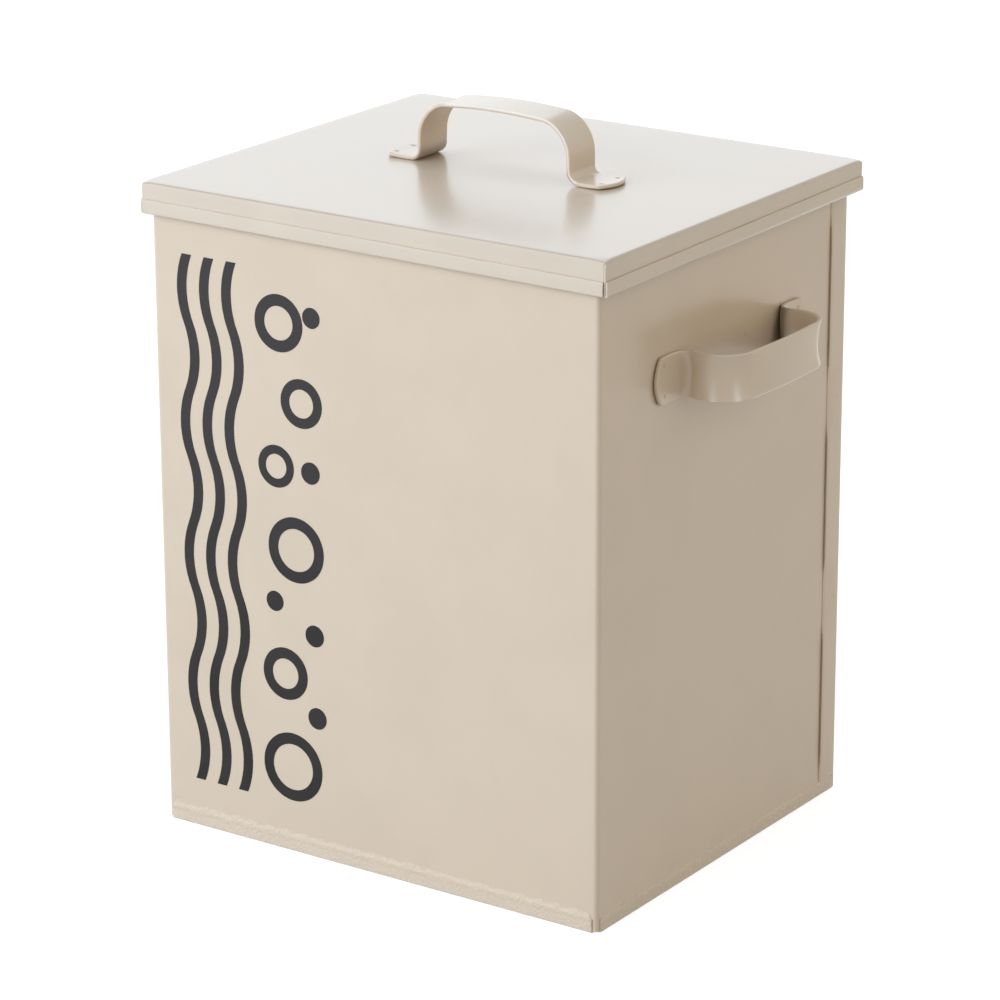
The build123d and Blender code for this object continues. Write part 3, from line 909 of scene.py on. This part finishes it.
def hemmed_skirt(border, out, low, sheets, seed):
    """Hang a skirt from a border of the plate, outwards along out, and turn its edge up outside it.

    The skirt falls straight to low, turns by a half circle of radius (sheet + gap) / 2 and climbs to the
    hem's height, where its edge leans back on the skirt. Slow waves along it fade in below the fold.
    """
    radius = (sheets.sheet + sheets.hem_gap) / 2
    centre = low + sheets.sheet / 2 + radius
    fall = np.linspace(0, 1, SKIRT_ROWS)[:, None]
    turn = np.linspace(0, math.pi, FOLD_STEPS + 1)[1:, None]
    climb = np.linspace(0, 1, FOLD_STEPS + 1)[1:, None]
    along = border @ np.cross(out, (0, 0, 1))
    top = border[:, 2][None]
    height = np.concatenate([
        top + fall * (centre - top),
        centre - radius * np.sin(turn) + 0 * top,
        centre + climb * (low + sheets.lid_hem - centre) + 0 * top])
    lean = sheets.hem_lean * (1 + HEM_UNEVEN * ripple(along, HEM_WAVE, seed + 1)[None]) * climb ** 4
    offset = np.concatenate([0 * fall + 0 * top, radius * (1 - np.cos(turn)) + 0 * top, 2 * radius - lean])
    fade = np.clip((top - height) / SKIRT_FADE, 0, 1) ** 2
    offset += sheets.sway * (ripple(along, SKIRT_WAVE, seed)[None] - 1) * fade
    grid = np.repeat(border[None], len(height), 0)
    grid += offset[..., None] * np.array(out, float)
    grid[..., 2] = height
    return grid


def lid_grids(low, high, sheets):
    """The lid: a plate bent down all round, with a hemmed skirt below each side.

    The plate's height is top - (dx^4 + dy^4)^(1/4), with dx and dy the drops of the two bends. Its corners
    droop by a bell curve of the distance from them. The front and rear skirts leave a slit beside the right
    one and close up to the left one.
    """
    middle = (low + high) / 2
    proud = sheets.sheet + sheets.hem_gap + sheets.sheet / 2
    half = (high - low) / 2 - proud
    radius = sheets.lid_fold - sheets.sheet / 2
    xs, drop_x = plate_stations(half[0], radius, sheets.spacing, FOLD_STEPS)
    ys, drop_y = plate_stations(half[1], radius, sheets.spacing, FOLD_STEPS)
    place_x, place_y = np.meshgrid(xs, ys)
    dx, dy = np.meshgrid(drop_x, drop_y)
    top = high[2] - sheets.sheet / 2
    corner = np.hypot(np.abs(place_x) - half[0], np.abs(place_y) - half[1])
    droop = sheets.corner_droop * np.exp(-((corner / DROOP_REACH) ** 2))
    plate = np.stack([place_x, place_y, top - (dx ** 4 + dy ** 4) ** 0.25 - droop], -1)
    grids = [plate]
    for row, side in ((0, -1), (-1, 1)):
        border = plate[row, FOLD_STEPS - LEFT_LAP:len(xs) - FOLD_STEPS + 1]
        lowest = skirt_low(border, low[2], half, sheets)
        grids.append(hemmed_skirt(border, (0, side, 0), lowest, sheets, FRONT_SEED + side))
    # Painted shade along the front and rear folds
    line = (dy - FOLD_SHADE_DROP * radius) / (FOLD_SHADE_WIDTH * radius)
    line = sheets.fold_shade * np.exp(-(line ** 2))
    marks = [line, 0.0, 0.0]
    for column, side in ((0, -1), (-1, 1)):
        # A side skirt reaches half a sheet past both ends of the plate, and begins that much lower there
        border = plate[:, column]
        ears = border[[0, -1]] + np.array([[0, -1, -1], [0, 1, -1]]) * sheets.sheet / 2
        border = np.concatenate([ears[:1], border, ears[1:]])
        lowest = skirt_low(border, low[2], half, sheets)
        skirt = hemmed_skirt(border, (side, 0, 0), lowest, sheets, SIDE_SEED + side)
        edge = lowest + sheets.lid_hem
        near = np.clip(1 - (edge - skirt[..., 2]) / sheets.hem_clip, 0, 1)
        outer = np.abs(skirt[..., 0]) > half[0] + sheets.sheet
        limit = np.abs(border[0, 1]) - sheets.hem_clip * near * outer
        skirt[..., 1] = np.clip(skirt[..., 1], -limit, limit)
        grids.append(skirt)
        # Painted highlight on the lower fold, more towards the back
        lit_fold = np.exp(-(((skirt[..., 2] - lowest) / HIGHLIGHT_HEIGHT) ** 2)) * outer
        lit_fold = lit_fold * np.clip(HIGHLIGHT_MIDDLE + skirt[..., 1] / half[1], 0, 1)
        marks.append(-sheets.fold_highlight * lit_fold)
    for grid in grids:
        grid[..., :2] += middle[:2]
    return [(grid, False, mark) for grid, mark in zip(grids, marks)]


def upright_sheet(plan, tangents, low, rim, hemmed, sheets):
    """Stand a strip of sheet along a plan line, from low to the rim; hemmed columns turn in at the rim.

    Returns grids with rows up the sheet. The hem turns by a half circle and runs down inside the wall.
    """
    radius = (sheets.sheet + sheets.hem_gap) / 2
    bend = rim - sheets.sheet / 2 - radius
    inward = np.stack([-tangents[:, 1], tangents[:, 0], 0 * tangents[:, 0]], -1)
    line = np.concatenate([plan, np.zeros((len(plan), 1))], 1)
    rows = np.concatenate([low, [bend]])

    def grid(columns, heights, offset):
        points = line[None, columns] + offset[:, None, None] * inward[None, columns]
        points[..., 2] = heights[:, None]
        return points

    everywhere = np.arange(len(plan))
    grids = [grid(everywhere, rows, 0 * rows)]
    turn = np.linspace(0, math.pi, FOLD_STEPS + 1)
    down = np.linspace(0, 1, HEM_ROWS + 1)[1:]
    heights = np.concatenate([bend + radius * np.sin(turn), bend + down * (rim - sheets.rim_hem - bend)])
    offset = np.concatenate([radius * (1 - np.cos(turn)), 2 * radius + 0 * down])
    edges = np.flatnonzero(np.diff(hemmed.astype(int)))
    for columns in np.split(everywhere, edges + 1):
        if hemmed[columns[0]]:
            grids.append(grid(columns, heights, offset))
        else:
            joined = np.arange(max(columns[0] - 1, 0), min(columns[-1] + 2, len(plan)))
            grids.append(grid(joined, np.array([bend, rim]), np.zeros(2)))
    return grids


def back_grids(low, high, sheets, base_top):
    """The back panel: bent forward along both sides, its flanges standing off between their welds.

    With w = 6 |sin(pi (z - z0) / pitch)| less its value where the welds stop holding the edge down, a
    flange's edge moves out by lift * clip(w, 0, 1) - press * clip(-w, 0, 1), and what lies between it and
    the bend moves by the square of the distance from the bend.
    """
    half = sheets.sheet / 2
    side, rear, front = high[0] - half, high[1] - half, low[1]
    corners = [(side, front), (side, rear), (-side, rear), (-side, front)]
    radius = sheets.corner - half
    plan, tangents = rounded_path(corners, (radius, radius), sheets.spacing, CORNER_TURN)
    flange = base_top + sheets.lap_clearance
    rows = np.concatenate([[low[2]], np.linspace(flange, high[2] - sheets.rim_hem, LAP_ROWS)])
    hemmed = np.abs(plan[:, 0]) < high[0] - sheets.rim_hem_end
    grids = upright_sheet(plan, tangents, rows, high[2], hemmed, sheets)
    # The lowest row goes missing under the flanges
    wall = grids[0]
    lap = plan[:, 1] < rear - radius
    bends = np.flatnonzero(~lap)
    grids[0] = wall[1:]
    grids.append(wall[:2, bends[0]:bends[-1] + 1])
    held = LAP_STEEPNESS * math.sin(math.pi * sheets.held / sheets.weld_pitch)
    for grid in grids:
        share = np.clip((rear - radius - grid[..., 1]) / (rear - radius - front), 0, 1)
        turn = math.pi * (grid[..., 2] - sheets.weld_lowest) / sheets.weld_pitch
        wave = LAP_STEEPNESS * np.abs(np.sin(turn)) - held
        lift = sheets.lap_lift * np.clip(wave, 0, 1) - sheets.lap_press * np.clip(-wave, 0, 1)
        on_side = np.abs(grid[..., 0]) > side - MM
        grid[..., 0] += np.sign(grid[..., 0]) * on_side * share ** 2 * lift
    return [(grid, False, 0.0) for grid in grids]


def base_grids(high, sheets):
    """The base pan: a plate with its four edges bent up, and square notches at its corners."""
    half = sheets.sheet / 2
    reach = high[:2] - half
    inner = high[:2] - sheets.base_notch
    xs = np.linspace(-inner[0], inner[0], round(2 * inner[0] / sheets.spacing))
    ys = np.linspace(-inner[1], inner[1], round(2 * inner[1] / sheets.spacing))
    grids = [(np.stack([*np.meshgrid(xs, ys), np.full((len(ys), len(xs)), half)], -1), False, 0.0)]
    # Painted shade on the side flanges and painted light on the front and rear ones
    for axis, stations, tone in ((0, ys, SIDE_FLANGE_SHADE), (1, xs, FRONT_FLANGE_LIGHT)):
        corners = [(inner[axis], half), (reach[axis], half), (reach[axis], high[2])]
        section, _ = rounded_path(corners, (sheets.base_bend - half,), BASE_STEP, BASE_TURN)
        for side in (-1, 1):
            strip = np.zeros((len(stations), len(section), 3))
            strip[..., axis] = side * section[None, :, 0]
            strip[..., 1 - axis] = stations[:, None]
            strip[..., 2] = section[None, :, 1]
            grids.append((strip, False, tone))
    return grids


def bead_grids(high, sheets):
    """The coat that fills the step between each base flange and its wall, uneven along its run.

    Its outer face stands proud of the flange, turns in over its edge and meets the wall flush: its distance
    from the wall is n = proud (1 - s^2 (3 - 2 s)), with s the share of the height above the flange. It
    thins out at both ends, and is lower on the sides.
    """
    grids = []
    steps = np.linspace(-1, 1, BEAD_POINTS)
    lap, share = np.clip(steps, -1, 0), np.clip(steps, 0, 1)
    for axis in (0, 1):
        reach = high[1 - axis] - sheets.base_notch
        run = np.linspace(-reach, reach, round(2 * reach / BEAD_STEP))
        wall = high[axis] - sheets.sheet
        for side in (-1, 1):
            fade = np.clip((reach - np.abs(run)) / BEAD_END, 0, 1) ** 0.5
            uneven = 1 + BEAD_UNEVEN * ripple(run, BEAD_WAVE, BEAD_SEED + side + 2 * axis)
            rise = (sheets.bead if axis else sheets.side_bead) * (fade * uneven)[:, None]
            height = high[2] + sheets.bead_lap * lap[None] + rise * share[None]
            thick = sheets.bead_proud * (1 + PROUD_UNEVEN * ripple(run, PROUD_WAVE, PROUD_SEED + side))
            proud = sheets.sheet + thick[:, None]
            across = wall + proud * (1 - share[None] ** 2 * (3 - 2 * share[None]))
            inside = np.full((len(run), 2), wall - sheets.sheet / 2)
            ends = np.stack([height[:, -1], height[:, 0]], 1)
            across, height = np.concatenate([across, inside], 1), np.concatenate([height, ends], 1)
            bead = np.zeros((*across.shape, 3))
            bead[..., axis] = side * across
            bead[..., 1 - axis] = run[:, None]
            bead[..., 2] = height
            grids.append((bead, True, 0.0))
    return grids


class DETERGENTBOX_OT_fold_sheets(bpy.types.Operator):
    """Fold the lid, the back panel and the base pan"""

    bl_idname = "detergent_box.fold_sheets"
    bl_label = "Fold sheets"

    def execute(self, context):
        sheets = context.scene.detergent_box_sheets
        lid = lid_grids(*node_box("lid"), sheets)
        finish = coated_steel("coat_lid", seed=1.7, fade=0.12)
        make_piece("lid_sheet", lid, finish, "lid", "lid", sheet=sheets.sheet)
        back = back_grids(*node_box("back_panel"), sheets, BASE_HIGH[2])
        finish = coated_steel("coat_back", seed=3.4, marks=lap_marks_and_shade)
        make_piece("back_sheet", back, finish, "box", "back_panel", sheet=sheets.sheet)
        finish = coated_steel("coat_base", seed=5.1, lumps=sheets.lumps)
        base = base_grids(BASE_HIGH, sheets)
        make_piece("base_sheet", base, finish, "box", "base_pan", sheet=sheets.sheet)
        make_piece("base_bead", bead_grids(BASE_HIGH, sheets), finish, "box", "base_pan")
        return {"FINISHED"}


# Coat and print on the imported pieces

class DETERGENTBOX_OT_coat_walls(bpy.types.Operator):
    """Coat the front and side walls"""

    bl_idname = "detergent_box.coat_walls"
    bl_label = "Coat the walls"

    def execute(self, context):
        # The walls' coat carries painted shade beside the side straps' heels
        finish = coated_steel("coat_walls", seed=1.3, marks=wall_marks_and_shade)
        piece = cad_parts["body_wrap"]
        piece.data.materials.clear()
        piece.data.materials.append(finish)
        return {"FINISHED"}


class DETERGENTBOX_OT_print_front(bpy.types.Operator):
    """Ink the waves and bubbles on the front wall"""

    bl_idname = "detergent_box.print_front"
    bl_label = "Print the front"

    def execute(self, context):
        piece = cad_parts["front_print"]
        piece.data.materials.clear()
        piece.data.materials.append(print_ink("ink"))
        return {"FINISHED"}


# Stage

BOX_MIDDLE, LID_MIDDLE = (0, 0, 0.125), (0, 0, 0.25)
WHITE, WARM_SHADE, WARM_ROOM = (1.0, 1.0, 1.0), (1.0, 0.95, 0.88), (1.0, 0.97, 0.89)
LAMPS = (  # name, place, target, width and height, watts, tint, and whether glossy faces mirror it
    ("key_lamp", (-0.8, -1.5, 0.75), LID_MIDDLE, (1.9, 1.2), 37.5, (0.68, 0.79, 1.0), False),
    ("side_lamp", (1.7, 0.5, 0.8), BOX_MIDDLE, (1.8, 1.8), 6.0, WHITE, True),
    ("rear_lamp", (-1.8, 1.6, 1.0), LID_MIDDLE, (2.4, 1.2), 7.0, (0.73, 0.85, 1.0), True),
    ("top_lamp", (-0.3, 0.3, 2.0), LID_MIDDLE, (2.0, 2.0), 14.0, (0.66, 0.80, 1.0), True),
)
FLOOR_REACH = 4.0
HORIZON, OVERHEAD = 0.0, 0.9  # heights of a unit sky between which its light fades


def camera_axes(azimuth, elevation, roll):
    """Right, up and back of a camera that looks at the box from azimuth and elevation."""
    back = Vector((math.sin(azimuth) * math.cos(elevation), -math.cos(azimuth) * math.cos(elevation),
                   math.sin(elevation)))
    right = Vector((0, 0, 1)).cross(back).normalized()
    up = back.cross(right)
    turn = Matrix.Rotation(roll, 3, back)
    return turn @ right, turn @ up, back


def soft_lamp(name, place, target, size, power, tint, mirrored):
    """A rectangular lamp that faces a target."""
    data = bpy.data.lights.new(name, "AREA")
    data.shape = "RECTANGLE"
    data.size, data.size_y = size
    data.energy = power
    data.color = tint
    lamp = bpy.data.objects.new(name, data)
    lamp.location = place
    lamp.rotation_euler = (Vector(target) - Vector(place)).to_track_quat("-Z", "Y").to_euler()
    lamp.visible_glossy = mirrored
    bpy.context.scene.collection.objects.link(lamp)


def paper_material(stage):
    """Matte white paper: the camera and mirror rays see it glow, so it keeps only a faint shadow."""
    recipe = Recipe("white_paper")
    camera, glossy = recipe.rays()
    seen = camera.most(glossy * stage.sheen)
    matte = recipe.add("ShaderNodeBsdfDiffuse", values={"Color": (*[stage.paper] * 3, 1.0)})
    tone = recipe.blend(camera, WARM_SHADE, WHITE)
    glow = recipe.add("ShaderNodeEmission", values={"Color": tone, "Strength": seen * stage.glow})
    both = recipe.add("ShaderNodeAddShader", values={0: matte, 1: glow})
    recipe.node("ShaderNodeOutputMaterial", values={"Surface": both})
    return recipe.material


class DETERGENTBOX_OT_set_stage(bpy.types.Operator):
    """Set the floor, the lamps, the surrounding light and the camera"""

    bl_idname = "detergent_box.set_stage"
    bl_label = "Set the stage"

    def execute(self, context):
        scene = context.scene
        stage = scene.detergent_box_stage
        scene.view_settings.view_transform = "Standard"
        mesh = bpy.data.meshes.new("floor")
        corners = np.array([(-1, -1, 0), (1, -1, 0), (1, 1, 0), (-1, 1, 0)]) * FLOOR_REACH
        mesh.from_pydata(corners, [], [(0, 1, 2, 3)])
        floor = bpy.data.objects.new("floor", mesh)
        mesh.materials.append(paper_material(stage))
        scene.collection.objects.link(floor)

        for lamp in LAMPS:
            soft_lamp(*lamp)

        world = bpy.data.worlds.new("white_room")
        scene.world = world
        recipe = Recipe("white_room", world)
        camera_ray, glossy_ray = recipe.rays()
        seen = camera_ray.most(glossy_ray * stage.sheen)
        height = recipe.axes(recipe.add("ShaderNodeTexCoord", output="Generated"))[2]
        room = stage.sky * (1.0 - recipe.mask(height, HORIZON, OVERHEAD) * stage.dusk)
        strength = room + seen * (1.0 - room)
        tone = recipe.blend(seen, WARM_ROOM, WHITE)
        light = recipe.add("ShaderNodeBackground", values={"Color": tone, "Strength": strength})
        recipe.node("ShaderNodeOutputWorld", values={"Surface": light})

        right, up, back = camera_axes(stage.azimuth, stage.elevation, stage.roll)
        data = bpy.data.cameras.new("camera")
        data.sensor_width = SENSOR
        data.lens = stage.focal_pixels * SENSOR / PICTURE_WIDTH
        data.clip_end = 50
        camera = bpy.data.objects.new("camera", data)
        place = Vector(BOX_MIDDLE) + back * stage.distance + right * stage.slide[0] + up * stage.slide[1]
        axes = Matrix((right, up, back)).transposed()
        camera.matrix_world = Matrix.Translation(place) @ axes.to_4x4()
        scene.collection.objects.link(camera)
        scene.camera = camera
        return {"FINISHED"}


class DETERGENTBOX_PT_panel(bpy.types.Panel):
    """Lists the settings and the operators"""

    bl_idname = "DETERGENTBOX_PT_panel"
    bl_label = "Detergent Box"
    bl_space_type = "VIEW_3D"
    bl_region_type = "UI"
    bl_category = "Detergent Box"

    def draw(self, context):
        for title, group in SETTINGS.items():
            box = self.layout.box()
            box.label(text=title.replace("detergent_box_", "").capitalize())
            settings = getattr(context.scene, title)
            for key in group.__annotations__:
                box.prop(settings, key)
        for operator in OPERATORS:
            self.layout.operator(operator.bl_idname)


SETTINGS = {
    "detergent_box_coat": CoatSettings,
    "detergent_box_print": PrintSettings,
    "detergent_box_strap": StrapSettings,
    "detergent_box_sheets": SheetSettings,
    "detergent_box_stage": StageSettings,
}
OPERATORS = (
    DETERGENTBOX_OT_set_stage,
    DETERGENTBOX_OT_coat_walls,
    DETERGENTBOX_OT_print_front,
    DETERGENTBOX_OT_bend_straps,
    DETERGENTBOX_OT_fold_sheets,
)


def register():
    for part in (*SETTINGS.values(), *OPERATORS, DETERGENTBOX_PT_panel):
        bpy.utils.register_class(part)
    for title, group in SETTINGS.items():
        setattr(bpy.types.Scene, title, bpy.props.PointerProperty(type=group))


def unregister():
    for title in SETTINGS:
        delattr(bpy.types.Scene, title)
    for part in (DETERGENTBOX_PT_panel, *OPERATORS[::-1], *SETTINGS.values()):
        bpy.utils.unregister_class(part)


def main():
    register()
    for operator in OPERATORS:
        group, name = operator.bl_idname.split(".")
        getattr(getattr(bpy.ops, group), name)()


if __name__ == "__main__":
    main()
